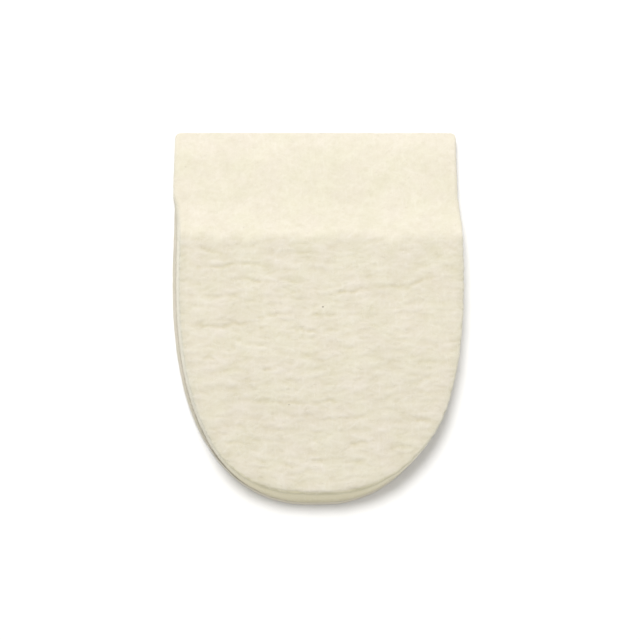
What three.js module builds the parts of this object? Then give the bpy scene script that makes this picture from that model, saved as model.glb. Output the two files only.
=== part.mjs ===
// A wool felt heel pad: a thick heel zone, a ramp down to a thin front tab, and a thin ply under it.
// Millimetres. +Z is up, the straight front edge is at +Y and the rounded heel end at -Y.
import * as THREE from "three";
import { mergeVertices } from "three/addons/utils/BufferGeometryUtils.js";

// Plan outline, shared by both pieces
const padWidth = 63.5;
const padLength = 87.3;
const heelDepth = 57.8; // from the heel end to where the sides run straight
const heelFullness = 2.6; // exponent of the heel's superellipse, 2 would be an ellipse
const cornerRadius = 1.6; // the two front corners, in plan

// Heights
const plyThickness = 1.3;
const seamGap = 0.3; // between the ply and the felt
const feltThickness = 4.8; // at the heel zone
const tabThickness = 1.9; // at the foot of the ramp
const tabDrop = 0.5; // what the tab loses from there to its rounded edge
const noseThickness = 0.5; // of the felt's front edge, under its rounding

// Lengths along the pad, from the front edge backwards
const noseLength = 3.6;
const tabLength = 18.5;
const rampLength = 9;
const rampHollow = 1.35; // over 1 gives the ramp a soft foot and a crisp top bend

// How soft felt lies: its top leans sideways, draws in a little and has a rounded rim
const topLean = 1.3;
const topSpread = -0.45;
const wallBulge = 0.2;
const rimRadius = 1.3;
const rimShare = 0.55; // where the felt is thin, the rim's radius is this share of it
const plyEdgeRadius = 0.3;

// How finely the faces follow the shape
const heelRows = 22;
const rampRows = 6;
const tabRows = 5;
const noseRows = 6;
const acrossColumns = 30;
const wallLevels = [0.3, 0.65]; // rows of faces up the wall, as shares of its height
const closestRows = 0.15;

const feltFloor = plyThickness + seamGap;
const frontY = padLength / 2;
const shoulderY = heelDepth - padLength / 2;

const clampShare = (value) => Math.min(1, Math.max(0, value));

// Half of the plan's width at y: straight sides, rounded front corners and a superellipse heel.
function halfWidthAt(y) {
  const half = padWidth / 2;
  if (y < shoulderY) {
    const share = clampShare((shoulderY - y) / heelDepth);
    return half * (1 - share ** heelFullness) ** (1 / heelFullness);
  }
  const intoCorner = Math.max(0, y - (frontY - cornerRadius));
  return half - cornerRadius + Math.sqrt(cornerRadius ** 2 - Math.min(intoCorner, cornerRadius) ** 2);
}

// Thickness of the felt on the pad's middle line, y measured along the pad.
function feltThicknessAt(y) {
  const fromFront = frontY - y;
  if (fromFront < tabLength) {
    const nose = 1 - clampShare(fromFront / noseLength);
    const tab = tabThickness - tabDrop * (1 - fromFront / tabLength);
    return noseThickness + (tab - noseThickness) * Math.sqrt(1 - nose ** 2);
  }
  const climb = clampShare((fromFront - tabLength) / rampLength) ** rampHollow;
  return tabThickness + (feltThickness - tabThickness) * climb;
}

// Rows of the plan from the heel end to the front edge: close at the tip, the ramp and the nose.
function rowPositions() {
  const rampTop = frontY - tabLength - rampLength;
  const rampFoot = frontY - tabLength;
  const noseStart = frontY - noseLength;
  const shares = (count) => Array.from({ length: count + 1 }, (_, i) => i / count);
  const quarter = Math.PI / 2;
  const found = [
    ...shares(heelRows).map((s) => shoulderY - heelDepth * Math.cos(quarter * s) ** (2 / heelFullness)),
    ...shares(rampRows).map((s) => rampTop + rampLength * s),
    ...shares(tabRows).map((s) => rampFoot + (noseStart - rampFoot) * s),
    ...shares(noseRows).map((s) => noseStart + noseLength * Math.sin(quarter * s)),
  ].sort((a, b) => a - b);
  const tip = found[0];
  const inner = found.filter((y) => y > tip && y < frontY - closestRows / 2);
  const apart = inner.filter((y, i) => i === 0 || y - inner[i - 1] > closestRows);
  return [tip, ...apart, frontY];
}

// Columns across a row, as shares of its half width: close together at the rims.
function columnShares() {
  const shares = [];
  for (let i = 0; i <= acrossColumns; i++) {
    shares.push(Math.sin(Math.PI * (i / acrossColumns - 0.5)));
  }
  return shares;
}

// Where a plan point lies between the middle (0) and the outline (1), the way out of the plan
// there, and about how far the outline is.
function planPlace(x, y) {
  const half = padWidth / 2;
  const across = Math.abs(x) / half;
  const along = Math.max(0, shoulderY - y) / heelDepth;
  const gauge = (across ** heelFullness + along ** heelFullness) ** (1 / heelFullness);
  if (gauge === 0) return { gauge, outX: 0, outY: 0, toEdge: half };
  const slopeX = (across / gauge) ** (heelFullness - 1) / half;
  const slopeY = (along / gauge) ** (heelFullness - 1) / heelDepth;
  const slope = Math.hypot(slopeX, slopeY);
  return {
    gauge,
    outX: (Math.sign(x) * slopeX) / slope,
    outY: -slopeY / slope,
    toEdge: Math.max(0, 1 - gauge) / slope,
  };
}

// How far a rounded rim of a given radius falls, at a distance from the edge.
function rimFall(distance, radius) {
  const into = Math.max(0, radius - distance);
  return radius - Math.sqrt(radius ** 2 - into ** 2);
}

// A closed slab over the plan. place(x, y, level) puts a plan point of the underside (level 0),
// of the wall (between 0 and 1) or of the top (level 1) where it belongs.
function slabGeometry(place) {
  const rows = rowPositions();
  const shares = columnShares();
  const last = shares.length - 1;
  const corners = [];
  const quad = (a, b, c, d) => corners.push(a, b, c, a, c, d);
  const planPoint = (row, column) => [shares[column] * halfWidthAt(rows[row]), rows[row]];

  for (let row = 0; row + 1 < rows.length; row++) {
    for (let column = 0; column < last; column++) {
      const around = [
        planPoint(row, column),
        planPoint(row, column + 1),
        planPoint(row + 1, column + 1),
        planPoint(row + 1, column),
      ];
      quad(...around.map(([x, y]) => place(x, y, 1)));
      quad(...around.reverse().map(([x, y]) => place(x, y, 0)));
    }
  }

  // The wall follows the plan's edge: right side, front edge, then back down the left side.
  const edge = [];
  for (let row = 0; row < rows.length; row++) edge.push(planPoint(row, last));
  for (let column = last - 1; column >= 0; column--) edge.push(planPoint(rows.length - 1, column));
  for (let row = rows.length - 2; row > 0; row--) edge.push(planPoint(row, 0));
  const levels = [0, ...wallLevels, 1];
  edge.forEach(([x, y], i) => {
    const [nextX, nextY] = edge[(i + 1) % edge.length];
    for (let k = 0; k + 1 < levels.length; k++) {
      quad(
        place(x, y, levels[k]),
        place(nextX, nextY, levels[k]),
        place(nextX, nextY, levels[k + 1]),
        place(x, y, levels[k + 1]),
      );
    }
  });

  const loose = new THREE.BufferGeometry().setFromPoints(corners.flat());
  const merged = mergeVertices(loose, 1e-4);
  const index = Array.from(merged.index.array);
  const kept = [];
  for (let i = 0; i < index.length; i += 3) {
    const [a, b, c] = index.slice(i, i + 3);
    if (a !== b && b !== c && c !== a) kept.push(a, b, c);
  }
  merged.setIndex(kept);
  merged.computeVertexNormals();
  return merged;
}

// The main felt: its top follows the profile, with a rounded rim, a bulging wall and a lean.
function feltPad() {
  const place = (x, y, level) => {
    const { gauge, outX, outY, toEdge } = planPlace(x, y);
    const thickness = feltThicknessAt(y);
    const fullness = thickness / feltThickness;
    const radius = Math.min(rimRadius, thickness * rimShare);
    const rim = level === 1 ? rimFall(toEdge, radius) : radius;
    const height = (thickness - rim) * level;
    const rise = height / feltThickness;
    const spread = (topSpread * rise + wallBulge * fullness * Math.sin(Math.PI * level)) * gauge;
    return new THREE.Vector3(x + outX * spread + topLean * rise, y + outY * spread, feltFloor + height);
  };
  const geometry = slabGeometry(place);
  const felt = new THREE.MeshStandardMaterial({ color: 0xf1eadb, roughness: 0.97, metalness: 0 });
  const mesh = new THREE.Mesh(geometry, felt);
  mesh.name = "felt_pad";
  return mesh;
}

// The plan's edge as a shape, counterclockwise from the heel tip.
function planShape() {
  const right = rowPositions().map((y) => new THREE.Vector2(halfWidthAt(y), y));
  const left = right.slice(1).reverse().map((point) => new THREE.Vector2(-point.x, point.y));
  return new THREE.Shape([...right, ...left]);
}

// The thin ply under it: the plan pulled up to a flat sheet, with slightly rounded edges.
function basePly() {
  const geometry = new THREE.ExtrudeGeometry(planShape(), {
    depth: plyThickness - 2 * plyEdgeRadius,
    bevelThickness: plyEdgeRadius,
    bevelSize: plyEdgeRadius,
    bevelOffset: -plyEdgeRadius,
    bevelSegments: 2,
    curveSegments: 1,
  });
  geometry.translate(0, 0, plyEdgeRadius);
  const ply = new THREE.MeshStandardMaterial({ color: 0xe6ddc6, roughness: 0.95, metalness: 0 });
  const mesh = new THREE.Mesh(geometry, ply);
  mesh.name = "base_ply";
  return mesh;
}

const heelPad = new THREE.Group();
heelPad.name = "heel_pad";
heelPad.add(basePly(), feltPad());

// The frame's origin is under the middle of the pad's box.
const middle = new THREE.Box3().setFromObject(heelPad).getCenter(new THREE.Vector3());
heelPad.position.set(-middle.x, -middle.y, 0);

export default heelPad;
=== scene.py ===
"""A wool felt heel pad on a pale floor: thick heel zone, ramp, low front tab and a thin felt ply."""

import math

import bmesh
import bpy
import numpy as np
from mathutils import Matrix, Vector, noise
from mathutils.geometry import delaunay_2d_cdt


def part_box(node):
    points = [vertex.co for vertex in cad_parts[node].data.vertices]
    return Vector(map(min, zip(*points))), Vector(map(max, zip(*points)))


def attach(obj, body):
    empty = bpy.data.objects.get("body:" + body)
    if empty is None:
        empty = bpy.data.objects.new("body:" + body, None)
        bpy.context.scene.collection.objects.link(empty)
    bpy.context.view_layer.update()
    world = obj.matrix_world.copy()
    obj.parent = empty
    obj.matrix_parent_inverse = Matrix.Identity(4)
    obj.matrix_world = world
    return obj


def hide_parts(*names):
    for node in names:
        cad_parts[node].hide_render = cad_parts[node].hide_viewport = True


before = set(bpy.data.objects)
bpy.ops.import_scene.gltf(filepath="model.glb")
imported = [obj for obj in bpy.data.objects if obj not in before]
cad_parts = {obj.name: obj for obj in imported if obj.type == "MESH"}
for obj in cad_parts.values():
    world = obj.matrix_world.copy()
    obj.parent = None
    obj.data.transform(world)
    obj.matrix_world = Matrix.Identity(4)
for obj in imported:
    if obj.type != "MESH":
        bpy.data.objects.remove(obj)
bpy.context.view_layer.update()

# Sizes of the pad, in metres: those of the solids, a few of them fitted closer to the photo
MM = 0.001
PAD_WIDTH = 63.5 * MM
PAD_LENGTH = 87.3 * MM
HEEL_DEPTH = 57.8 * MM
FOOT_FULLNESS = 2.5
TOP_FULLNESS = 2.66
CORNER_RADIUS = 1.6 * MM
PLY_THICKNESS = 1.48 * MM
SEAM_GAP = 0.12 * MM
FELT_THICKNESS = 4.8 * MM
TAB_THICKNESS = 1.9 * MM
TAB_DROP = 0.5 * MM
NOSE_THICKNESS = 0.5 * MM
NOSE_LENGTH = 7.5 * MM
TAB_LENGTH = 18.5 * MM
RAMP_LENGTH = 9 * MM
RAMP_HOLLOW = 1.35
WALL_BULGE = 0.1 * MM
RIM_SHARE = 0.5

# How the real felt lies: the thick zone has slipped to the right on its ply, and its top is narrower
TOP_SLIP = 1.36 * MM
FOOT_SLIP = 0.6 * MM
SLIP_START_Y = 28.2 * MM
SLIP_LENGTH = 12.2 * MM
TOP_WIDTH = 62.8 * MM
FOOT_WIDTH = 63.3 * MM
TAB_WIDTH = 64.2 * MM
HEEL_END_INSET = 0.6 * MM
TIP_REACH = 0.5 * MM
SIDE_RIM = 0.5 * MM
TAB_RIM = 1.1 * MM
END_RIM = 0.9 * MM
BEND_BLUR = 1.7 * MM
BLUR_STEPS = 9
FOOT_RADIUS = 0.15 * MM
FOOT_RADIUS_SHARE = 0.3  # of the thickness, where the felt is thin
SLIP_RISE = 1.7  # over 1, most of the slip comes early
SLIP_SOFT_SHARE = 0.25  # of the slip's length, over which it starts softly
SLIP_FADE = 0.85  # share of the slip that is lost towards the heel's tip
SLIP_FADE_START = 0.6  # of the half length, where that begins
END_RIM_START = 0.8  # how far the outline faces backwards where the end's rim begins
TIP_SHARPNESS = 8  # exponent, higher keeps the tip's reach closer to the tip
MOST_FULLER = 1.15  # limit on the top's widening where its plan is the fuller one

HALF_WIDTH = PAD_WIDTH / 2
FELT_FLOOR = PLY_THICKNESS + SEAM_GAP
FRONT_Y = PAD_LENGTH / 2
SHOULDER_Y = HEEL_DEPTH - FRONT_Y
RAMP_TOP_Y = FRONT_Y - TAB_LENGTH - RAMP_LENGTH
RAMP_FOOT_Y = FRONT_Y - TAB_LENGTH

# How finely the meshes follow the shape
ROW_STEP = 0.31 * MM
FIRST_ROW_STEP = 0.03 * MM
ROW_GROWTH = 0.12
COLUMN_STEP = 0.3 * MM
FIRST_COLUMN_SHARE = 0.0015  # of the half width
COLUMN_GROWTH = 0.1
FILL_SPACING = 4 * MM
FILL_CLEARANCE = 0.7  # of the spacing, between the outline and the inner points
INSIDE_ONLY = 1  # the triangulation's mode that fills the outline
MERGE_DISTANCE = 1e-7
TINY = 1e-9
NEAR_MIDDLE = 1e-6

# The plan's middle lies a little off the frame's origin, because the felt leans
ply_low, ply_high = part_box("base_ply")
PLAN_X = (ply_low.x + ply_high.x) / 2
PLAN_Y = (ply_low.y + ply_high.y) / 2

# Surface detail
RIDGE_HEIGHT = 0.28 * MM
RIDGE_LENGTH = 4.8 * MM
RIDGE_SPACING = 1.6 * MM
CREASE_DEPTH = 0.35 * MM
CREASE_WIDTH = 0.42 * MM
LUMP_HEIGHT = 0.15 * MM
GRAIN_HEIGHT = 0.055 * MM
RIDGE_SLANT = 0.03
RIDGE_SWAY = 2.0 * MM
RIDGE_GAIN = 2.6
VALLEY_WIDTH = 0.06
VALLEY_DEPTH = 0.5
LAYER_HEIGHT = 0.22 * MM
LAYER_MIDDLE = 0.55
FULL_HOLLOW = 0.3 * MM
BREAK_MIDDLE = 0.36
BREAK_GAIN = 4.0
LUMPS_ON_TAB = 1.6
LUMPS_LOST_ON_HEEL = 1.05
LAYER_FREQUENCIES = (("X", 60.0), ("Y", 60.0), ("Z", 1300.0))
CREASE_SWAY = 0.75 * MM
CREASE_TAPER = (0.6, 1.35)  # where it fades out, as shares of half its length
LIP_HEIGHT = 0.35  # the raised lip behind a crease, as a share of its depth
LIP_OFFSET = 2.4  # in widths of a crease
LIP_WIDTH = 1.6
LEAST_CREASE = 0.5  # share of the depth that is left where a crease is broken up
CREASE_BREAKS = (-0.35, 0.25)
BREAK_FREQUENCY = 420
FIBRE_TIP = 0.3  # radius of a loose fibre at its tips, as a share of its middle's
SHORTEST_FIBRE = 0.55
LONGEST_FIBRE = 1.4
SEED = 11

# Where the zones begin and end that the colours and the relief follow
HEEL_LINE_BACK = 1.9 * MM
HEEL_LINE_FRONT = 1.3 * MM
HEEL_LINE_SWAY = 1.6 * MM
REAR_REACH = (10 * MM, 20 * MM)
TAB_LINE = 3 * MM
TAB_FADE = (10 * MM, 3 * MM)
RAMP_AS_TAB = 0.6
CUT_REACH = (0.05 * MM, 0.6 * MM)
CUT_ON_TAB = 0.4
BACK_TURN = (0.45, 0.95)
SEAM_SHADE_REACH = (0.1 * MM, 2.6 * MM)
BRIM_SHADE_REACH = (0.3 * MM, 2.2 * MM)
RIM_HEIGHTS = (0.5 * MM, 1.0 * MM)
FREE_HEIGHTS = (0.0, 0.5 * MM)
FUZZ_ON_TAB = 0.35

# Creases of the heel zone: middle x and y on the plan and length in millimetres, slant in degrees
CREASES = [
    # x, y, length, slant, strength
    (-23.8, 8.2, 5.7, 3, 0.5),
    (-17.7, 9.0, 7.1, 6, 0.9),
    (-13.9, 5.3, 3.9, 0, 0.8),
    (-6.3, 5.0, 3.7, -2, 0.5),
    (0.1, 7.9, 5.5, -2, 0.5),
    (7.7, 2.5, 6.9, 6, 0.8),
    (17.3, 3.6, 6.9, 2, 0.9),
    (23.7, 5.2, 6.4, 20, 0.9),
    (-5.6, 0.9, 5.9, -1, 0.5),
    (-8.9, -3.2, 7.3, 6, 0.6),
    (2.0, -3.1, 5.5, 0, 0.7),
    (8.8, -3.0, 2.7, 0, 0.5),
    (-20.6, -5.6, 11.6, 3, 1.0),
    (-1.9, -6.9, 7.7, -6, 0.8),
    (3.6, -6.8, 3.2, 4, 0.6),
    (-15.4, -9.5, 3.2, -4, 0.6),
    (-11.6, -8.5, 3.6, 4, 0.7),
    (-23.5, -13.0, 4.1, -3, 0.7),
    (-0.3, -13.0, 4.5, -7, 0.6),
    (-17.1, -16.0, 4.9, 3, 0.6),
    (-9.7, -15.6, 3.6, 3, 0.7),
    (10.9, -18.0, 5.4, 5, 0.6),
    (23.5, -18.0, 2.7, 10, 0.8),
    (24.2, -14.1, 4.1, 3, 0.6),
    (-14.4, -19.8, 8.5, 2, 0.4),
    (-8.5, -23.1, 12.0, -1, 0.7),
    (2.4, -23.3, 6.2, -1, 0.9),
    (9.8, -22.7, 3.1, 4, 0.6),
    (-3.4, -26.6, 3.6, 8, 0.6),
    (5.5, -27.0, 10.7, 3, 0.7),
    (-10.0, -29.3, 7.1, -6, 0.7),
    (19.1, -26.2, 2.2, -6, 0.6),
    (22.4, -27.6, 1.8, -8, 0.6),
    (-16.8, -32.6, 4.0, 1, 0.7),
    (9.2, -32.5, 4.0, 3, 0.7),
    (0.6, -36.7, 2.7, -5, 0.6),
    (8.1, -36.5, 5.3, 2, 0.6),
    (-8.4, -36.8, 11.9, -4, 0.4),
    (-19.7, 1.3, 6.9, -6, 0.4),
    (10.1, -8.5, 4.5, -3, 0.3),
    (-22.7, 12.4, 6.1, -10, 0.5),
    (-14.6, 13.5, 3.7, 4, 0.5),
]


# The pad's plan and profile


def half_width(y, fullness=FOOT_FULLNESS):
    """Half of the plan's width at y."""
    share = np.clip((SHOULDER_Y - y) / HEEL_DEPTH, 0, 1)
    heel = HALF_WIDTH * (1 - share**fullness) ** (1 / fullness)
    into = np.clip(y - (FRONT_Y - CORNER_RADIUS), 0, CORNER_RADIUS)
    side = HALF_WIDTH - CORNER_RADIUS + np.sqrt(CORNER_RADIUS**2 - into**2)
    return np.where(y < SHOULDER_Y, heel, side)


def sharp_thickness(y):
    """Thickness of the felt along the pad's middle line, before its bends are rounded."""
    from_front = FRONT_Y - y
    nose = 1 - np.clip(from_front / NOSE_LENGTH, 0, 1)
    tab = TAB_THICKNESS - TAB_DROP * (1 - from_front / TAB_LENGTH)
    low = NOSE_THICKNESS + (tab - NOSE_THICKNESS) * np.sqrt(1 - nose**2)
    climb = np.clip((from_front - TAB_LENGTH) / RAMP_LENGTH, 0, 1) ** RAMP_HOLLOW
    high = TAB_THICKNESS + (FELT_THICKNESS - TAB_THICKNESS) * climb
    return np.where(from_front < TAB_LENGTH, low, high)


def felt_thickness(y):
    """Thickness of the felt along the pad's middle line."""
    shifts = np.linspace(-BEND_BLUR, BEND_BLUR, BLUR_STEPS)
    blurred = sum(sharp_thickness(y + shift) for shift in shifts) / len(shifts)
    soft = smooth(FRONT_Y - y, NOSE_LENGTH, TAB_LENGTH - 2 * BEND_BLUR)
    return sharp_thickness(y) * (1 - soft) + blurred * soft


def plan_place(x, y):
    """Gauge from the middle (0) to the outline (1), the way out, and the distance to the outline."""
    across = np.abs(x) / HALF_WIDTH
    along = np.clip(SHOULDER_Y - y, 0, None) / HEEL_DEPTH
    gauge = (across**FOOT_FULLNESS + along**FOOT_FULLNESS) ** (1 / FOOT_FULLNESS)
    safe = np.maximum(gauge, TINY)
    slope_x = (across / safe) ** (FOOT_FULLNESS - 1) / HALF_WIDTH
    slope_y = (along / safe) ** (FOOT_FULLNESS - 1) / HEEL_DEPTH
    slope = np.maximum(np.hypot(slope_x, slope_y), TINY)
    to_edge = np.where(gauge > NEAR_MIDDLE, np.clip(1 - gauge, 0, None) / slope, HALF_WIDTH)
    return gauge, np.sign(x) * slope_x / slope, -slope_y / slope, to_edge


def tip_reach(y, out_y):
    """How much further back the heel's tip lies than a plain superellipse."""
    return TIP_REACH * np.clip(-y / FRONT_Y, 0, 1) ** 2 * np.clip(-out_y, 0, 1) ** TIP_SHARPNESS


def rim_fall(distance, radius):
    """How far a rounded rim falls at a distance from the edge."""
    into = np.clip(radius - distance, 0, radius)
    return radius - np.sqrt(radius**2 - into**2)


def smooth(value, low, high):
    """0 below low, 1 above high and a smooth step between them."""
    t = np.clip((value - low) / (high - low), 0, 1)
    return t * t * (3 - 2 * t)


def stations(length, full, start, growth):
    """Places from 0 to length, close together at both ends and full apart between them."""
    found = [0.0]
    while found[-1] < length:
        at = found[-1]
        to_end = max(0, length - at)
        found.append(at + min(full, start + growth * at, start + growth * to_end))
    kept = found[:-1] if length - found[-2] > start / 2 else found[:-2]
    return np.array(kept + [length])


# Rows are places along the pad, columns are shares of the half width from -1 to 1
rows = stations(PAD_LENGTH, ROW_STEP, FIRST_ROW_STEP, ROW_GROWTH) - FRONT_Y
columns = stations(2.0, COLUMN_STEP / HALF_WIDTH, FIRST_COLUMN_SHARE, COLUMN_GROWTH) - 1


def felt_point(x, y, level, top):
    """A point of the felt: on the top, or up the wall at a level from 0 to 1."""
    gauge, out_x, out_y, to_edge = plan_place(x, y)
    thickness = felt_thickness(y)
    fullness = thickness / FELT_THICKNESS

    side_rim = SIDE_RIM + (TAB_RIM - SIDE_RIM) * smooth(y, RAMP_TOP_Y, RAMP_FOOT_Y)
    rim_radius = side_rim + (END_RIM - side_rim) * smooth(-out_y, END_RIM_START, 1.0)
    rim_radius = np.minimum(rim_radius, thickness * RIM_SHARE)
    rim = rim_fall(to_edge, rim_radius) if top else rim_radius
    height = (thickness - rim) * level
    foot_radius = np.minimum(FOOT_RADIUS, FOOT_RADIUS_SHARE * thickness)
    tuck = 0 if top else rim_fall(height, foot_radius)
    spread = WALL_BULGE * fullness * math.sin(math.pi * level) * gauge - tuck

    slipped = np.clip((SLIP_START_Y - y) / SLIP_LENGTH, 0, 1)
    slipped = (1 - (1 - slipped) ** SLIP_RISE) * smooth(slipped, 0, SLIP_SOFT_SHARE)
    level_width = FOOT_WIDTH + (TOP_WIDTH - FOOT_WIDTH) * level
    wide = TAB_WIDTH + (level_width - TAB_WIDTH) * slipped
    fuller = half_width(y, TOP_FULLNESS) / np.maximum(half_width(y), TINY)
    wide = wide * (1 + (np.minimum(fuller, MOST_FULLER) - 1) * level)
    slip = (FOOT_SLIP + (TOP_SLIP - FOOT_SLIP) * level) * slipped
    slip = slip * (1 - SLIP_FADE * smooth(-y, SLIP_FADE_START * FRONT_Y, FRONT_Y))
    inset = HEEL_END_INSET * level * np.clip(-y / FRONT_Y, 0, 1) ** 2 * np.clip(-out_y, 0, 1)

    px = x * wide / PAD_WIDTH + out_x * spread + slip + PLAN_X
    py = y + out_y * spread + inset - tip_reach(y, out_y) + PLAN_Y
    return np.stack([px, py, FELT_FLOOR + height], axis=-1)


def new_object(name, mesh):
    """An object of a mesh, in the scene and at the origin."""
    made = bpy.data.objects.new(name, mesh)
    bpy.context.scene.collection.objects.link(made)
    return made


def set_values(mesh, name, values):
    """Stores one number for each vertex."""
    layer = mesh.attributes.new(name, "FLOAT", "POINT")
    layer.data.foreach_set("value", np.asarray(values, dtype=np.float32))


def clean_up(mesh):
    """Merges doubled points, turns the faces outward and shades them smooth."""
    shape = bmesh.new()
    shape.from_mesh(mesh)
    bmesh.ops.remove_doubles(shape, verts=shape.verts, dist=MERGE_DISTANCE)
    bmesh.ops.recalc_face_normals(shape, faces=shape.faces)
    shape.to_mesh(mesh)
    shape.free()
    mesh.shade_smooth()


def fill_flat(ring, spacing):
    """Triangles that fill a closed plan ring, with a grid of inner points."""
    ring = np.asarray(ring)
    low, high = ring.min(axis=0), ring.max(axis=0)
    inner = []
    for y in np.arange(low[1] + spacing, high[1] - spacing / 2, spacing):
        for x in np.arange(low[0] + spacing, high[0], spacing):
            plan_x, plan_y = x - PLAN_X, y - PLAN_Y
            inside = abs(plan_x) < half_width(np.array(plan_y)) - FILL_CLEARANCE * spacing
            if inside and -FRONT_Y + spacing < plan_y < FRONT_Y - spacing:
                inner.append(Vector((x, y)))
    points = [Vector(p) for p in ring] + inner
    edges = [(i, (i + 1) % len(ring)) for i in range(len(ring))]
    verts, _, faces, _, _, _ = delaunay_2d_cdt(points, edges, [], INSIDE_ONLY, TINY)
    return verts, faces


# The felt body


def plan_fractal(x, y, across, along, pattern, hardness):
    """Three octaves of noise at plan points, with its own frequency across and along the pad."""
    return np.array([
        noise.fractal(Vector((px * across, py * along, pattern)), hardness, 2.0, 3)
        for px, py in zip(x, y)
    ])


def crease_depths(x, y):
    """Depth of the charted creases at plan points, as a share of the deepest."""
    sway = plan_fractal(x, y, across=260, along=120, pattern=3.1, hardness=0.9) * CREASE_SWAY
    breaks = np.array([
        noise.noise(Vector((px * BREAK_FREQUENCY, py * BREAK_FREQUENCY, 8.4)))
        for px, py in zip(x, y)
    ])
    kept = LEAST_CREASE + (1 - LEAST_CREASE) * smooth(breaks, *CREASE_BREAKS)
    depth = np.zeros_like(x)
    for at_x, at_y, length, slant, strength in CREASES:
        turn = math.radians(slant)
        along = (x - at_x * MM) * math.cos(turn) + (y - at_y * MM) * math.sin(turn)
        across = (y - at_y * MM) * math.cos(turn) - (x - at_x * MM) * math.sin(turn) + sway
        reach = length * MM / 2
        ends = 1 - smooth(np.abs(along), reach * CREASE_TAPER[0], reach * CREASE_TAPER[1])
        groove = np.exp(-((across / CREASE_WIDTH) ** 2))
        from_lip = (across + LIP_OFFSET * CREASE_WIDTH) / (LIP_WIDTH * CREASE_WIDTH)
        lip = np.exp(-(from_lip**2))
        depth += strength * ends * (groove - LIP_HEIGHT * lip)
    return depth * kept


# Rings of points up the wall, as shares of its height, closest at its foot
WALL_LEVELS = [0.0, 0.02, 0.05, 0.1, 0.18, 0.28, 0.4, 0.52, 0.64, 0.76, 0.88]


def mark_zones(mesh, points, plan_x, plan_y, is_top):
    """Stores, for each vertex, its share of every zone that the relief and the colours follow."""
    _, _, out_y, to_edge = plan_place(plan_x, plan_y)
    above = points[:, 2] - FELT_FLOOR
    sway = plan_fractal(plan_x, plan_y, across=180, along=240, pattern=5.7, hardness=0.8)
    heel_line = plan_y + sway * HEEL_LINE_SWAY
    heel = 1 - smooth(heel_line, RAMP_TOP_Y - HEEL_LINE_BACK, RAMP_TOP_Y + HEEL_LINE_FRONT)
    heel = np.where(is_top, heel, 0)
    tab = smooth(plan_y, RAMP_FOOT_Y - TAB_LINE, RAMP_FOOT_Y + TAB_LINE)
    tab = RAMP_AS_TAB + (1 - RAMP_AS_TAB) * tab
    tab = tab * (1 - smooth(plan_y, FRONT_Y - TAB_FADE[0], FRONT_Y - TAB_FADE[1]))
    cut = (1 - smooth(to_edge, *CUT_REACH)) * (CUT_ON_TAB + (1 - CUT_ON_TAB) * heel)
    cut = np.where(is_top, cut, 1)
    free = smooth(above, *FREE_HEIGHTS)
    crease = crease_depths(points[:, 0] - PLAN_X, points[:, 1] - PLAN_Y)
    set_values(mesh, "heel", heel)
    set_values(mesh, "rear", heel * smooth(-plan_y, *REAR_REACH))
    set_values(mesh, "tab", np.where(is_top, tab, 0) * (1 - heel))
    set_values(mesh, "cut", cut)
    set_values(mesh, "back", smooth(-out_y, *BACK_TURN))
    # painted shade along the foot of the cut wall, beside the ply
    set_values(mesh, "seam_shade", np.where(is_top, 0, 1 - smooth(above, *SEAM_SHADE_REACH)))
    # painted shade on the top's rounded rim, in the heel zone
    set_values(mesh, "brim_shade", np.where(is_top, 1 - smooth(to_edge, *BRIM_SHADE_REACH), 0) * heel)
    set_values(mesh, "rim", cut * smooth(above, *RIM_HEIGHTS))
    set_values(mesh, "free", free)
    set_values(mesh, "fuzz", free * (FUZZ_ON_TAB + (1 - FUZZ_ON_TAB) * heel))
    set_values(mesh, "crease", np.where(is_top, crease, 0) * heel)


def felt_mesh():
    """The closed body: top grid, wall and underside."""
    grid_y = rows[:, None] + 0 * columns[None, :]
    grid_x = half_width(rows)[:, None] * columns[None, :]
    top = felt_point(grid_x, grid_y, 1.0, True).reshape(-1, 3)
    count_rows, count_columns = grid_x.shape
    at = np.arange(count_rows * count_columns).reshape(count_rows, count_columns)
    a, b, c, d = at[:-1, :-1], at[:-1, 1:], at[1:, 1:], at[1:, :-1]
    faces = np.stack([a, b, c, d], axis=-1).reshape(-1, 4).tolist()

    ring = list(at[:, -1]) + list(at[-1, -2::-1]) + list(at[-2:0:-1, 0])
    ring_x = grid_x.reshape(-1)[ring]
    ring_y = grid_y.reshape(-1)[ring]
    points = [top]
    upper = list(ring)
    start = len(top)
    for level in reversed(WALL_LEVELS):
        wall = felt_point(ring_x, ring_y, level, False)
        points.append(wall)
        lower = list(range(start, start + len(ring)))
        for i in range(len(ring)):
            j = (i + 1) % len(ring)
            faces.append((lower[i], lower[j], upper[j], upper[i]))
        upper = lower
        start += len(ring)

    bottom, filled = fill_flat(points[-1][:, :2], FILL_SPACING)
    points.append(np.array([(p.x, p.y, FELT_FLOOR) for p in bottom[len(ring):]]))
    first = upper[0]
    for face in filled:
        faces.append([first + i if i < len(ring) else start + i - len(ring) for i in face][::-1])

    everything = np.concatenate(points)
    mesh = bpy.data.meshes.new("wool_felt_body")
    mesh.from_pydata(everything.tolist(), [], faces)
    is_top = np.arange(len(everything)) < len(top)
    plan_x = everything[:, 0] - PLAN_X
    plan_y = everything[:, 1] - PLAN_Y
    plan_x[is_top] = grid_x.reshape(-1)
    plan_y[is_top] = grid_y.reshape(-1)
    mark_zones(mesh, everything, plan_x, plan_y, is_top)
    clean_up(mesh)
    return mesh


# Geometry Nodes helpers


def new_tree(name, inputs):
    """A tree with a geometry in and out, and named inputs: (name, socket type, value)."""
    tree = bpy.data.node_groups.new(name, "GeometryNodeTree")
    tree.interface.new_socket("Geometry", in_out="INPUT", socket_type="NodeSocketGeometry")
    for label, kind, value in inputs:
        socket = tree.interface.new_socket(label, in_out="INPUT", socket_type=kind)
        if value is not None:
            socket.default_value = value
    tree.interface.new_socket("Geometry", in_out="OUTPUT", socket_type="NodeSocketGeometry")
    return tree, tree.nodes.new("NodeGroupInput"), tree.nodes.new("NodeGroupOutput")


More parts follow.
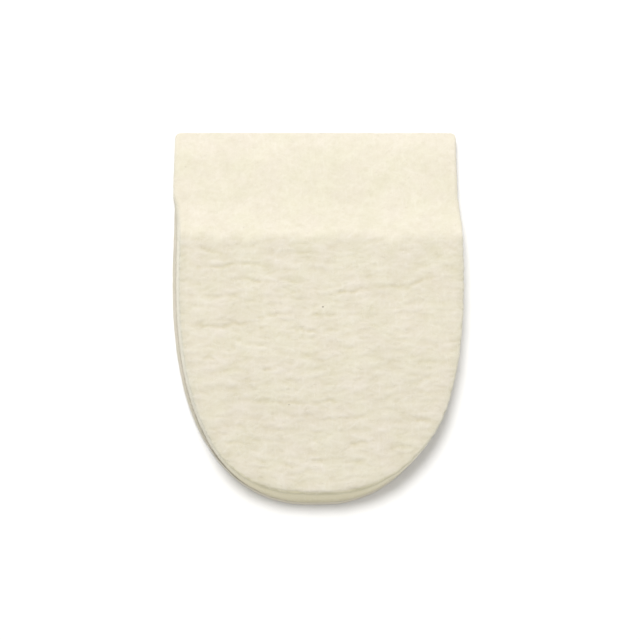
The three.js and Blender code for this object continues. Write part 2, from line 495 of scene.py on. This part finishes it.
def enabled(sockets, name):
    """The socket of a name that is in use, where a node has one for each data type."""
    return next(socket for socket in sockets if socket.enabled and socket.name == name)


class Wiring:
    """Short ways to add nodes to a tree and join them."""

    def __init__(self, tree):
        self.tree = tree

    def node(self, kind, **settings):
        """A new node of a kind, with its properties set."""
        made = self.tree.nodes.new(kind)
        for key, value in settings.items():
            setattr(made, key, value)
        return made

    def join(self, source, target):
        """Links an output to an input."""
        self.tree.links.new(source, target)

    def put(self, value, target):
        """Gives an input a value or links an output to it."""
        if isinstance(value, bpy.types.NodeSocket):
            self.join(value, target)
        else:
            target.default_value = value

    def read(self, name):
        """A mesh attribute in a geometry tree, by a name or by a socket that holds the name."""
        made = self.node("GeometryNodeInputNamedAttribute", data_type="FLOAT")
        self.put(name, made.inputs["Name"])
        return enabled(made.outputs, "Attribute")

    def math(self, operation, first, second=None):
        """The output of a math node on one or two values."""
        made = self.node("ShaderNodeMath", operation=operation)
        self.put(first, made.inputs[0])
        if second is not None:
            self.put(second, made.inputs[1])
        return made.outputs[0]

    def vector(self, operation, first, second=None):
        """The vector output of a vector math node."""
        made = self.node("ShaderNodeVectorMath", operation=operation)
        self.put(first, made.inputs[0])
        if second is not None:
            self.put(second, made.inputs["Scale"] if operation == "SCALE" else made.inputs[1])
        return made.outputs[0]

    def noise(self, vector, scale, detail, pattern, roughness=0.5, distortion=0.0):
        """The value of a noise texture; the pattern number stands for its seed."""
        made = self.node("ShaderNodeTexNoise", noise_dimensions="4D")
        self.join(vector, made.inputs["Vector"])
        for label, value in (
            ("Scale", scale), ("Detail", detail), ("W", pattern),
            ("Roughness", roughness), ("Distortion", distortion),
        ):
            self.put(value, made.inputs[label])
        return made.outputs["Fac"]


def baked(source, tree, settings, name):
    """A plain mesh object from source with the tree on it."""
    modifier = source.modifiers.new("making", "NODES")
    modifier.node_group = tree
    for item in tree.interface.items_tree:
        if item.item_type == "SOCKET" and item.in_out == "INPUT" and item.name in settings:
            modifier[item.identifier] = settings[item.name]
    graph = bpy.context.evaluated_depsgraph_get()
    mesh = bpy.data.meshes.new_from_object(source.evaluated_get(graph), depsgraph=graph)
    mesh.name = name
    source.modifiers.remove(modifier)
    return new_object(name, mesh)


def felt_surface_tree():
    """Raises ridges, creases, lumps and grain on the felt along its normals."""
    tree, given, out = new_tree("felt_surface", [
        ("Ridge Height", "NodeSocketFloat", 0.0),
        ("Ridge Length", "NodeSocketFloat", 1.0),
        ("Ridge Spacing", "NodeSocketFloat", 1.0),
        ("Crease Depth", "NodeSocketFloat", 0.0),
        ("Lump Height", "NodeSocketFloat", 0.0),
        ("Grain Height", "NodeSocketFloat", 0.0),
        ("Seed", "NodeSocketFloat", 0.0),
        ("Felt", "NodeSocketMaterial", None),
    ])
    w = Wiring(tree)
    value = given.outputs
    heel, cut, free, charted = [w.read(name) for name in ("heel", "cut", "free", "crease")]
    position = w.node("GeometryNodeInputPosition").outputs[0]

    def pattern(number):
        """A noise pattern of its own for each use, moved along by the seed."""
        return w.math("ADD", value["Seed"], number)

    def centred(noise_value, middle=0.5):
        """A noise value that swings about 0."""
        return w.math("SUBTRACT", noise_value, middle)

    # Ridges run across the pad: the pattern is stretched along x and swayed by a slow noise
    apart = w.node("ShaderNodeSeparateXYZ")
    w.join(position, apart.inputs[0])
    sway = w.noise(position, scale=100.0, detail=2.0, pattern=pattern(4.0))
    swayed = w.math("ADD", apart.outputs["Y"], w.math("MULTIPLY", centred(sway), RIDGE_SWAY))
    slanted = w.math("SUBTRACT", swayed, w.math("MULTIPLY", apart.outputs["X"], RIDGE_SLANT))
    stretched = w.node("ShaderNodeCombineXYZ")
    w.join(w.math("DIVIDE", apart.outputs["X"], value["Ridge Length"]), stretched.inputs["X"])
    w.join(w.math("DIVIDE", slanted, value["Ridge Spacing"]), stretched.inputs["Y"])
    across = stretched.outputs[0]
    broad = w.noise(across, scale=1.0, detail=3.0, pattern=value["Seed"])

    # Narrow valleys lie where a second noise crosses its middle, and a third breaks them up
    folds = w.noise(across, scale=0.8, detail=1.0, pattern=pattern(9.0), roughness=0.4)
    line = w.math("ABSOLUTE", centred(folds))
    valley = w.math("SUBTRACT", 1.0, w.math("DIVIDE", line, VALLEY_WIDTH))
    valley = w.math("MULTIPLY", w.math("MAXIMUM", valley, 0.0), VALLEY_DEPTH)
    broken = w.noise(position, scale=260.0, detail=1.0, pattern=pattern(13.0))
    broken = w.math("MULTIPLY", centred(broken, BREAK_MIDDLE), BREAK_GAIN)
    broken = w.math("MINIMUM", w.math("MAXIMUM", broken, 0.0), 1.0)
    valley = w.math("MULTIPLY", valley, broken)
    ridge = w.math("SUBTRACT", w.math("MULTIPLY", centred(broad), RIDGE_GAIN), valley)
    ridge = w.math("MULTIPLY", w.math("MULTIPLY", ridge, value["Ridge Height"]), heel)
    crease = w.math("MULTIPLY", charted, value["Crease Depth"])

    # Lumps everywhere but weaker in the heel zone, and a fine grain
    lumps = w.noise(position, scale=520.0, detail=3.0, pattern=pattern(17.0), roughness=0.65)
    share = w.math("SUBTRACT", LUMPS_ON_TAB, w.math("MULTIPLY", heel, LUMPS_LOST_ON_HEEL))
    lump = w.math("MULTIPLY", w.math("MULTIPLY", centred(lumps), value["Lump Height"]), 2.0)
    lump = w.math("MULTIPLY", lump, share)
    grains = w.noise(
        position, scale=1500.0, detail=2.0, pattern=pattern(23.0), roughness=0.6, distortion=0.6
    )
    grain = w.math("MULTIPLY", centred(grains), value["Grain Height"])
    grain = w.math("MULTIPLY", grain, 2.0)

    # The cut wall shows the felt's layers as thin level steps
    layered = w.node("ShaderNodeCombineXYZ")
    for axis, frequency in LAYER_FREQUENCIES:
        w.join(w.math("MULTIPLY", apart.outputs[axis], frequency), layered.inputs[axis])
    layers = w.noise(layered.outputs[0], scale=1.0, detail=2.0, pattern=pattern(31.0))
    layer = w.math("MULTIPLY", centred(layers, LAYER_MIDDLE), LAYER_HEIGHT)
    layer = w.math("MULTIPLY", layer, cut)

    # How deep a place lies is kept as an attribute, for the painted shade of the hollows in the
    # material
    folded = w.math("SUBTRACT", ridge, crease)
    hollow = w.math("MULTIPLY", folded, -1 / FULL_HOLLOW)
    keep = w.node("GeometryNodeStoreNamedAttribute", data_type="FLOAT", domain="POINT")
    keep.inputs["Name"].default_value = "hollow"
    w.join(value["Geometry"], keep.inputs["Geometry"])
    w.join(hollow, enabled(keep.inputs, "Value"))

    total = w.math("ADD", folded, w.math("ADD", lump, grain))
    total = w.math("MULTIPLY", w.math("ADD", total, layer), free)
    normal = w.node("GeometryNodeInputNormal").outputs[0]
    push = w.node("GeometryNodeSetPosition")
    w.join(keep.outputs[0], push.inputs["Geometry"])
    w.join(w.vector("SCALE", normal, total), push.inputs["Offset"])
    real = w.node("GeometryNodeRealizeInstances")
    w.join(push.outputs[0], real.inputs[0])
    finish = w.node("GeometryNodeSetMaterial")
    w.join(real.outputs[0], finish.inputs["Geometry"])
    w.join(value["Felt"], finish.inputs["Material"])
    w.join(finish.outputs[0], out.inputs[0])
    return tree


def fibre_tree():
    """Scatters short bent fibres over a surface."""
    tree, given, out = new_tree("felt_fibres", [
        ("Density", "NodeSocketFloat", 1.0),
        ("Length", "NodeSocketFloat", 1.0),
        ("Thickness", "NodeSocketFloat", 1.0),
        ("Bend", "NodeSocketFloat", 0.3),
        ("Lift", "NodeSocketFloat", 0.2),
        ("Tilt", "NodeSocketFloat", 0.04),
        ("Seed", "NodeSocketInt", 0),
        ("Where", "NodeSocketString", ""),
        ("Felt", "NodeSocketMaterial", None),
    ])
    w = Wiring(tree)
    value = given.outputs
    spread = w.node("GeometryNodeDistributePointsOnFaces", distribute_method="RANDOM")
    w.join(value["Geometry"], spread.inputs["Mesh"])
    density = w.math("MULTIPLY", value["Density"], w.read(value["Where"]))
    w.join(density, spread.inputs["Density"])
    w.join(value["Seed"], spread.inputs["Seed"])

    # One fibre: a bent, three-sided thread that thins out at both ends
    arc = w.node("GeometryNodeCurveQuadraticBezier")
    arc.inputs["Resolution"].default_value = 3
    arc.inputs["Start"].default_value = (-0.5, 0, 0)
    arc.inputs["End"].default_value = (0.5, 0, 0)
    middle = w.node("ShaderNodeCombineXYZ")
    w.join(value["Bend"], middle.inputs["Y"])
    w.join(value["Lift"], middle.inputs["Z"])
    w.join(middle.outputs[0], arc.inputs["Middle"])
    section = w.node("GeometryNodeCurvePrimitiveCircle")
    section.inputs["Resolution"].default_value = 3
    slimness = w.math("DIVIDE", value["Thickness"], value["Length"])
    w.join(w.math("DIVIDE", slimness, 2.0), section.inputs["Radius"])
    taper = w.node("GeometryNodeSetCurveRadius")
    w.join(arc.outputs[0], taper.inputs["Curve"])
    along = w.node("GeometryNodeSplineParameter").outputs["Factor"]
    waist = w.math("SINE", w.math("MULTIPLY", along, math.pi))
    radius = w.math("ADD", FIBRE_TIP, w.math("MULTIPLY", waist, 1 - FIBRE_TIP))
    w.join(radius, taper.inputs["Radius"])
    thread = w.node("GeometryNodeCurveToMesh")
    w.join(taper.outputs[0], thread.inputs["Curve"])
    w.join(section.outputs[0], thread.inputs["Profile Curve"])
    thread.inputs["Fill Caps"].default_value = True
    w.join(w.node("GeometryNodeInputRadius").outputs[0], thread.inputs["Scale"])

    # Each fibre gets a direction, a slight tilt and a size of its own
    turn = w.node("FunctionNodeRandomValue", data_type="FLOAT_VECTOR")
    for label, sign, spin in (("Min", -1.0, 0.0), ("Max", 1.0, 2 * math.pi)):
        reach = w.node("ShaderNodeCombineXYZ")
        w.join(w.math("MULTIPLY", value["Tilt"], sign), reach.inputs["X"])
        w.join(w.math("MULTIPLY", value["Tilt"], sign), reach.inputs["Y"])
        reach.inputs["Z"].default_value = spin
        w.join(reach.outputs[0], turn.inputs[label])
    w.join(value["Seed"], turn.inputs["Seed"])
    sizes = w.node("FunctionNodeRandomValue", data_type="FLOAT")
    enabled(sizes.inputs, "Min").default_value = SHORTEST_FIBRE
    enabled(sizes.inputs, "Max").default_value = LONGEST_FIBRE
    w.join(w.math("ADD", value["Seed"], 5.0), sizes.inputs["Seed"])
    lay = w.node("FunctionNodeRotateRotation", rotation_space="LOCAL")
    w.join(spread.outputs["Rotation"], lay.inputs[0])
    w.join(enabled(turn.outputs, "Value"), lay.inputs[1])
    place = w.node("GeometryNodeInstanceOnPoints")
    w.join(spread.outputs["Points"], place.inputs["Points"])
    w.join(thread.outputs[0], place.inputs["Instance"])
    w.join(lay.outputs[0], place.inputs["Rotation"])
    size = w.math("MULTIPLY", enabled(sizes.outputs, "Value"), value["Length"])
    w.join(size, place.inputs["Scale"])
    real = w.node("GeometryNodeRealizeInstances")
    w.join(place.outputs[0], real.inputs[0])
    finish = w.node("GeometryNodeSetMaterial")
    w.join(real.outputs[0], finish.inputs["Geometry"])
    w.join(value["Felt"], finish.inputs["Material"])
    w.join(finish.outputs[0], out.inputs[0])
    return tree


# Materials

MOTTLE_SCALE = 210.0
MOTTLE_RANGE = (0.28, 0.72)
TINT_RANGE = (0.38, 0.62)
LUMP_SHADE_RANGE = (0.37, 0.61)
FIBRE_RANGE = (0.45, 0.75)
HOLLOW_RANGE = (-0.3, 1.0)
FINE_SHARE = 0.4
WARM_TINT = (1.0, 0.988, 0.992, 1.0)
GREEN_TINT = (0.992, 0.996, 0.965, 1.0)
LUMP_PAINTED_SHADE = (0.955, 0.95, 0.935, 1.0)
LUMP_SHADE_LOST_ON_HEEL = 0.8
# painted shade between the fibres, weaker on the tab
FIBRE_PAINTED_SHADE = (0.93, 0.915, 0.87, 1.0)
FIBRE_SHADE_ON_TAB = 0.7
CUT_SHARE = 0.9
HOLLOW_PAINTED_SHADE = (0.885, 0.87, 0.79, 1.0)
FLECK_COLOUR = (0.1, 0.075, 0.045, 1.0)
FLECK_STRENGTH = 0.78
FLECK_EDGE = (0.6, 1.6)  # where a fleck fades out, in radii
SMOOTHEST_FIBRE = 0.9  # roughness

ZONE_SHADES = [
    # attribute, and the colour that it multiplies the felt by
    # painted shade at the foot of the cut wall, where the felt meets the ply
    ("seam_shade", (0.78, 0.765, 0.73, 1.0)),
    # painted shade on the top's rounded rim
    ("brim_shade", (0.95, 0.955, 0.95, 1.0)),
    ("heel", (0.895, 0.896, 0.887, 1.0)),
    ("rear", (0.98, 0.979, 0.982, 1.0)),
    ("tab", (0.963, 0.965, 0.948, 1.0)),
]


def felt_grain_group():
    """Colour mask and height of felt: slow mottling, short crossing fibres and fine grain."""
    group = bpy.data.node_groups.new("felt_grain", "ShaderNodeTree")
    for label, kind, value in (
        ("Vector", "NodeSocketVector", None),
        ("Mottle Scale", "NodeSocketFloat", 120.0),
        ("Fibre Scale", "NodeSocketFloat", 1400.0),
        ("Fibre Stretch", "NodeSocketFloat", 5.0),
    ):
        socket = group.interface.new_socket(label, in_out="INPUT", socket_type=kind)
        if value is not None:
            socket.default_value = value
    for label in ("Mottle", "Fibres", "Height"):
        group.interface.new_socket(label, in_out="OUTPUT", socket_type="NodeSocketFloat")
    given = group.nodes.new("NodeGroupInput")
    out = group.nodes.new("NodeGroupOutput")
    w = Wiring(group)
    value = given.outputs
    vector = value["Vector"]
    mottle = w.noise(vector, scale=value["Mottle Scale"], detail=4.0, pattern=2.0, roughness=0.6)
    strands = []
    for turn, pattern in ((0.35, 5.0), (-0.8, 7.0), (1.5, 12.0)):
        lay = w.node("ShaderNodeMapping")
        w.join(vector, lay.inputs["Vector"])
        lay.inputs["Rotation"].default_value = (0.0, 0.0, turn)
        stretch = w.node("ShaderNodeCombineXYZ")
        stretch.inputs["X"].default_value = 1.0
        w.join(value["Fibre Stretch"], stretch.inputs["Y"])
        w.join(value["Fibre Stretch"], stretch.inputs["Z"])
        drawn = w.vector("MULTIPLY", lay.outputs[0], stretch.outputs[0])
        scale = w.math("DIVIDE", value["Fibre Scale"], value["Fibre Stretch"])
        strand = w.noise(
            drawn, scale=scale, detail=3.0, pattern=pattern, roughness=0.6, distortion=0.9
        )
        strands.append(strand)
    most = w.math("MAXIMUM", w.math("MAXIMUM", strands[0], strands[1]), strands[2])
    fine_scale = w.math("MULTIPLY", value["Fibre Scale"], 1.6)
    fine = w.noise(vector, scale=fine_scale, detail=2.0, pattern=3.0)
    height = w.math("ADD", most, w.math("MULTIPLY", fine, FINE_SHARE))
    w.join(mottle, out.inputs["Mottle"])
    w.join(most, out.inputs["Fibres"])
    w.join(height, out.inputs["Height"])
    return group


FLECKS = [
    # x and y on the plan and radius, in millimetres
    (1.71, -1.23, 0.18),
    (-5.57, -23.77, 0.11),
]


def felt_material(name, group, pale, dark, painted_side_wall_shade, painted_back_wall_shade, flecks):
    """Cream felt whose colour varies with mottling, fibres and the zone, with painted shade on the
    cut wall, its rim and foot, on lumps, in the hollows and between the fibres.
    """
    material = bpy.data.materials.new(name)
    material.use_nodes = True
    tree = material.node_tree
    tree.nodes.clear()
    w = Wiring(tree)
    out = w.node("ShaderNodeOutputMaterial")
    skin = w.node("ShaderNodeBsdfPrincipled")
    place = w.node("ShaderNodeTexCoord").outputs["Object"]
    grain = w.node("ShaderNodeGroup", node_tree=group)
    w.join(place, grain.inputs["Vector"])
    grain.inputs["Mottle Scale"].default_value = MOTTLE_SCALE

    def read(name):
        """A mesh attribute, as a number."""
        return w.node("ShaderNodeAttribute", attribute_name=name).outputs["Fac"]

    def mix(kind, amount, first, second):
        """Two colours mixed or multiplied."""
        made = w.node("ShaderNodeMix", data_type="RGBA", blend_type=kind)
        w.put(amount, made.inputs["Factor"])
        w.put(first, made.inputs[6])
        w.put(second, made.inputs[7])
        return made.outputs[2]

    def remap(value, low, high, to_low=0.0, to_high=1.0):
        """A value's range stretched to another one and held inside it."""
        made = w.node("ShaderNodeMapRange")
        w.join(value, made.inputs["Value"])
        for label, number in (
            ("From Min", low), ("From Max", high), ("To Min", to_low), ("To Max", to_high),
        ):
            made.inputs[label].default_value = number
        return made.outputs[0]

    # Slow mottling of depth and of tint
    colour = mix("MIX", remap(grain.outputs["Mottle"], *MOTTLE_RANGE), dark, pale)
    tint = w.noise(place, scale=170.0, detail=3.0, pattern=21.0, roughness=0.55)
    tint = mix("MIX", remap(tint, *TINT_RANGE), WARM_TINT, GREEN_TINT)
    colour = mix("MULTIPLY", 1.0, colour, tint)

    # Painted shade of small lumps as a dark mottle, mostly on the tab, and painted shade between the
    # fibres
    heel = read("heel")
    lump_shade = w.noise(place, scale=560.0, detail=3.0, pattern=27.0, roughness=0.72)
    lump_shade = remap(lump_shade, *LUMP_SHADE_RANGE, 1.0, 0.0)
    on_tab = w.math("SUBTRACT", 1.0, w.math("MULTIPLY", heel, LUMP_SHADE_LOST_ON_HEEL))
    colour = mix("MULTIPLY", w.math("MULTIPLY", lump_shade, on_tab), colour, LUMP_PAINTED_SHADE)
    fibre = remap(grain.outputs["Fibres"], *FIBRE_RANGE)
    fibre_shade_share = w.math("MULTIPLY", heel, 1 - FIBRE_SHADE_ON_TAB)
    fibre_shade_share = w.math("ADD", FIBRE_SHADE_ON_TAB, fibre_shade_share)
    shade = w.math("MULTIPLY", remap(fibre, 0.0, 1.0, 1.0, 0.0), fibre_shade_share)
    colour = mix("MULTIPLY", shade, colour, FIBRE_PAINTED_SHADE)

    # Painted shade on the cut wall and its rim, darker and yellower where the wall faces back, then
    # the other zones, the painted shade of the hollows and the flecks
    painted_cut_shade = mix("MIX", read("back"), painted_side_wall_shade, painted_back_wall_shade)
    colour = mix("MIX", w.math("MULTIPLY", read("cut"), CUT_SHARE), colour, painted_cut_shade)
    for name, zone_shade in ZONE_SHADES:
        colour = mix("MULTIPLY", read(name), colour, zone_shade)
    # painted shade in the hollows of ridges and creases, darker and yellower the deeper they lie
    colour = mix("MULTIPLY", remap(read("hollow"), *HOLLOW_RANGE), colour, HOLLOW_PAINTED_SHADE)
    for at_x, at_y, radius in flecks:
        middle = (at_x * MM + PLAN_X, at_y * MM + PLAN_Y, FELT_FLOOR + FELT_THICKNESS)
        far = w.node("ShaderNodeVectorMath", operation="LENGTH")
        w.join(w.vector("SUBTRACT", place, middle), far.inputs[0])
        inner, outer = [edge * radius * MM for edge in FLECK_EDGE]
        near = remap(far.outputs["Value"], inner, outer, FLECK_STRENGTH, 0.0)
        colour = mix("MIX", near, colour, FLECK_COLOUR)

    w.join(colour, skin.inputs["Base Color"])
    w.join(remap(fibre, 0.0, 1.0, 1.0, SMOOTHEST_FIBRE), skin.inputs["Roughness"])
    skin.inputs["Specular IOR Level"].default_value = 0.15
    skin.inputs["Sheen Weight"].default_value = 0.25
    skin.inputs["Sheen Roughness"].default_value = 0.6
    bump = w.node("ShaderNodeBump")
    bump.inputs["Strength"].default_value = 0.5
    bump.inputs["Distance"].default_value = 0.04 * MM
    w.join(grain.outputs["Height"], bump.inputs["Height"])
    w.join(bump.outputs[0], skin.inputs["Normal"])
    w.join(skin.outputs[0], out.inputs["Surface"])
    return material


def loose_fibre_material():
    """Pale single fibres, a little uneven in colour; the paleness is partly their own and partly
    painted light that offsets the shade on the thin threads.
    """
    material = bpy.data.materials.new("loose_wool")
    material.use_nodes = True
    w = Wiring(material.node_tree)
    skin = material.node_tree.nodes["Principled BSDF"]
    place = w.node("ShaderNodeTexCoord").outputs["Object"]
    tone = w.node("ShaderNodeMix", data_type="RGBA")
    shade = w.node("ShaderNodeTexNoise")
    w.join(place, shade.inputs["Vector"])
    shade.inputs["Scale"].default_value = 700.0
    w.join(shade.outputs["Fac"], tone.inputs["Factor"])
    tone.inputs[6].default_value = (0.89, 0.85, 0.74, 1)
    tone.inputs[7].default_value = (0.96, 0.93, 0.84, 1)
    w.join(tone.outputs[2], skin.inputs["Base Color"])
    skin.inputs["Roughness"].default_value = 0.9
    skin.inputs["Specular IOR Level"].default_value = 0.15
    return material


felt_grain = felt_grain_group()
loose_wool = loose_fibre_material()
wool_felt = felt_material(
    "wool_felt",
    felt_grain,
    pale=(0.885, 0.838, 0.737, 1),
    dark=(0.82, 0.773, 0.665, 1),
    painted_side_wall_shade=(0.825, 0.79, 0.66, 1),
    painted_back_wall_shade=(0.825, 0.768, 0.55, 1),
    flecks=FLECKS,
)
# The ply is the same felt, its colours darkened as painted shade, most on its top under the felt's
# wall
ply_felt = felt_material(
    "ply_felt",
    felt_grain,
    pale=(0.66, 0.63, 0.56, 1),
    dark=(0.61, 0.585, 0.52, 1),
    painted_side_wall_shade=(0.75, 0.725, 0.65, 1),
    painted_back_wall_shade=(0.75, 0.70, 0.57, 1),
    flecks=[],
)

# The felt body and its fibres
felt_base = new_object("felt_base", felt_mesh())
felt_settings = {
    "Ridge Height": RIDGE_HEIGHT,
    "Ridge Length": RIDGE_LENGTH,
    "Ridge Spacing": RIDGE_SPACING,
    "Crease Depth": CREASE_DEPTH,
    "Lump Height": LUMP_HEIGHT,
    "Grain Height": GRAIN_HEIGHT,
    "Seed": float(SEED),
    "Felt": wool_felt,
}
wool_felt_body = baked(felt_base, felt_surface_tree(), felt_settings, "wool_felt_body")
bpy.data.objects.remove(felt_base)

fibre_nodes = fibre_tree()
surface_fibres = baked(wool_felt_body, fibre_nodes, {
    "Density": 0.7e6,
    "Length": 1.6 * MM,
    "Thickness": 0.025 * MM,
    "Bend": 0.4,
    "Lift": 0.015,
    "Tilt": 0.025,
    "Seed": SEED,
    "Where": "fuzz",
    "Felt": loose_wool,
}, "surface_fibres")
rim_fibres = baked(wool_felt_body, fibre_nodes, {
    "Density": 2.2e6,
    "Length": 1.1 * MM,
    "Thickness": 0.024 * MM,
    "Bend": 0.35,
    "Lift": 0.1,
    "Tilt": 0.55,
    "Seed": SEED + 1,
    "Where": "rim",
    "Felt": loose_wool,
}, "rim_fibres")


# The ply


PLY_EDGE = 0.15 * MM
PLY_EDGE_STEPS = 4
PLY_ROUGHNESS = 0.08 * MM
PLY_ROW_STEP = 0.5 * MM
PLY_FIRST_ROW_STEP = 0.05 * MM
PLY_COLUMN_STEP = 0.6 * MM
PLY_FIRST_COLUMN_SHARE = 0.002


def ply_plan():
    """The ply's outline, counterclockwise from the heel tip."""
    ring_rows = stations(PAD_LENGTH, PLY_ROW_STEP, PLY_FIRST_ROW_STEP, ROW_GROWTH) - FRONT_Y
    column_share = PLY_COLUMN_STEP / HALF_WIDTH
    ring_columns = stations(2.0, column_share, PLY_FIRST_COLUMN_SHARE, COLUMN_GROWTH) - 1
    widths = half_width(ring_rows)
    right = [(wide, y) for wide, y in zip(widths, ring_rows)]
    front = [(share * widths[-1], FRONT_Y) for share in ring_columns[-2:0:-1]]
    left = [(-wide, y) for wide, y in zip(widths[::-1], ring_rows[::-1])][:-1]
    return np.array(right + front + left)


def ply_mesh():
    """The thin ply: the plan pulled up to a sheet with softly rounded edges and an uneven cut."""
    plan = ply_plan()
    _, out_x, out_y, _ = plan_place(plan[:, 0], plan[:, 1])
    out_y = np.where(plan[:, 1] > FRONT_Y - NEAR_MIDDLE, 1.0, out_y)
    lower_part = [(0.0, PLY_EDGE)]
    for step in range(1, PLY_EDGE_STEPS + 1):
        turn = math.pi / 2 * step / PLY_EDGE_STEPS
        lower_part.append((PLY_EDGE * (1 - math.cos(turn)), PLY_EDGE * (1 - math.sin(turn))))
    upper_part = [(PLY_THICKNESS - z, inset) for z, inset in reversed(lower_part)]
    levels = lower_part + upper_part
    points, faces = [], []
    for z, inset in levels:
        ragged = np.array([
            noise.noise(Vector((x * 500, y * 500, z * 900))) for x, y in plan
        ]) * PLY_ROUGHNESS
        points += [
            (x + ox * s + PLAN_X, y + oy * s - tip_reach(y, oy) + PLAN_Y, z)
            for (x, y), ox, oy, s in zip(plan, out_x, out_y, ragged - inset)
        ]
    count = len(plan)
    for level in range(len(levels) - 1):
        low = level * count
        for i in range(count):
            j = (i + 1) % count
            faces.append((low + i, low + j, low + count + j, low + count + i))
    top_ring = (len(levels) - 1) * count
    for first, z, flip in ((0, 0.0, True), (top_ring, PLY_THICKNESS, False)):
        ring = [p[:2] for p in points[first:first + count]]
        verts, filled = fill_flat(ring, FILL_SPACING)
        start = len(points)
        points += [(p.x, p.y, z) for p in verts[count:]]
        for face in filled:
            named = [first + i if i < count else start + i - count for i in face]
            faces.append(named[::-1] if flip else named)
    mesh = bpy.data.meshes.new("felt_ply_sheet")
    mesh.from_pydata(points, [], faces)
    cut_top = PLY_THICKNESS - 0.5 * PLY_EDGE
    set_values(mesh, "cut", [1.0 if z < cut_top else 0.0 for _, _, z in points])
    back = list(smooth(-out_y, *BACK_TURN)) * len(levels)
    set_values(mesh, "back", back + [0.0] * (len(points) - len(back)))
    clean_up(mesh)
    mesh.materials.append(ply_felt)
    return mesh


felt_ply_sheet = new_object("felt_ply_sheet", ply_mesh())

for piece, node, slot in (
    (wool_felt_body, "felt_pad", "wool_felt"),
    (surface_fibres, "felt_pad", "wool_felt"),
    (rim_fibres, "felt_pad", "wool_felt"),
    (felt_ply_sheet, "base_ply", "ply_felt"),
):
    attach(piece, "root")
    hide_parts(node)

# Floor, light and camera
FLOOR_HALF = 1.5
AIM = Vector((PLAN_X + 1.06 * MM, PLAN_Y - 1.7 * MM, 0.0))
KEY_PLACE = (-0.09, 0.30, 0.95)
KEY_SIZE = 0.5
KEY_ENERGY = 6.7
WORLD_STRENGTH = 0.57
ELEVATION = math.radians(68)
DISTANCE = 0.42
SENSOR_WIDTH = 36
LENS = 106.8

floor_material = bpy.data.materials.new("pale_floor")
floor_material.use_nodes = True
floor_skin = floor_material.node_tree.nodes["Principled BSDF"]
floor_skin.inputs["Base Color"].default_value = (0.93, 0.925, 0.92, 1)
floor_skin.inputs["Roughness"].default_value = 0.8
floor_mesh = bpy.data.meshes.new("floor")
floor_corners = [
    (-FLOOR_HALF, -FLOOR_HALF, 0),
    (FLOOR_HALF, -FLOOR_HALF, 0),
    (FLOOR_HALF, FLOOR_HALF, 0),
    (-FLOOR_HALF, FLOOR_HALF, 0),
]
floor_mesh.from_pydata(floor_corners, [], [(0, 1, 2, 3)])
floor_mesh.materials.append(floor_material)
floor = new_object("floor", floor_mesh)


def soft_light(name, where, size, energy):
    """A white disk light that faces the pad."""
    data = bpy.data.lights.new(name, "AREA")
    data.shape = "DISK"
    data.size = size
    data.energy = energy
    data.color = (1.0, 1.0, 1.0)
    made = bpy.data.objects.new(name, data)
    bpy.context.scene.collection.objects.link(made)
    made.location = where
    made.rotation_euler = (AIM - Vector(where)).to_track_quat("-Z", "Y").to_euler()


soft_light("key_light", KEY_PLACE, KEY_SIZE, KEY_ENERGY)
world = bpy.data.worlds.new("studio")
world.use_nodes = True
world.node_tree.nodes["Background"].inputs["Color"].default_value = (1.0, 1.0, 1.0, 1)
world.node_tree.nodes["Background"].inputs["Strength"].default_value = WORLD_STRENGTH
bpy.context.scene.world = world
bpy.context.scene.view_settings.view_transform = "Standard"

camera_data = bpy.data.cameras.new("camera")
camera_data.sensor_width = SENSOR_WIDTH
camera_data.lens = LENS
camera_data.clip_start = 0.01
camera = bpy.data.objects.new("camera", camera_data)
bpy.context.scene.collection.objects.link(camera)
camera.location = AIM + DISTANCE * Vector((0, -math.cos(ELEVATION), math.sin(ELEVATION)))
camera.rotation_euler = (math.pi / 2 - ELEVATION, 0, 0)
bpy.context.scene.camera = camera

bpy.context.view_layer.update()
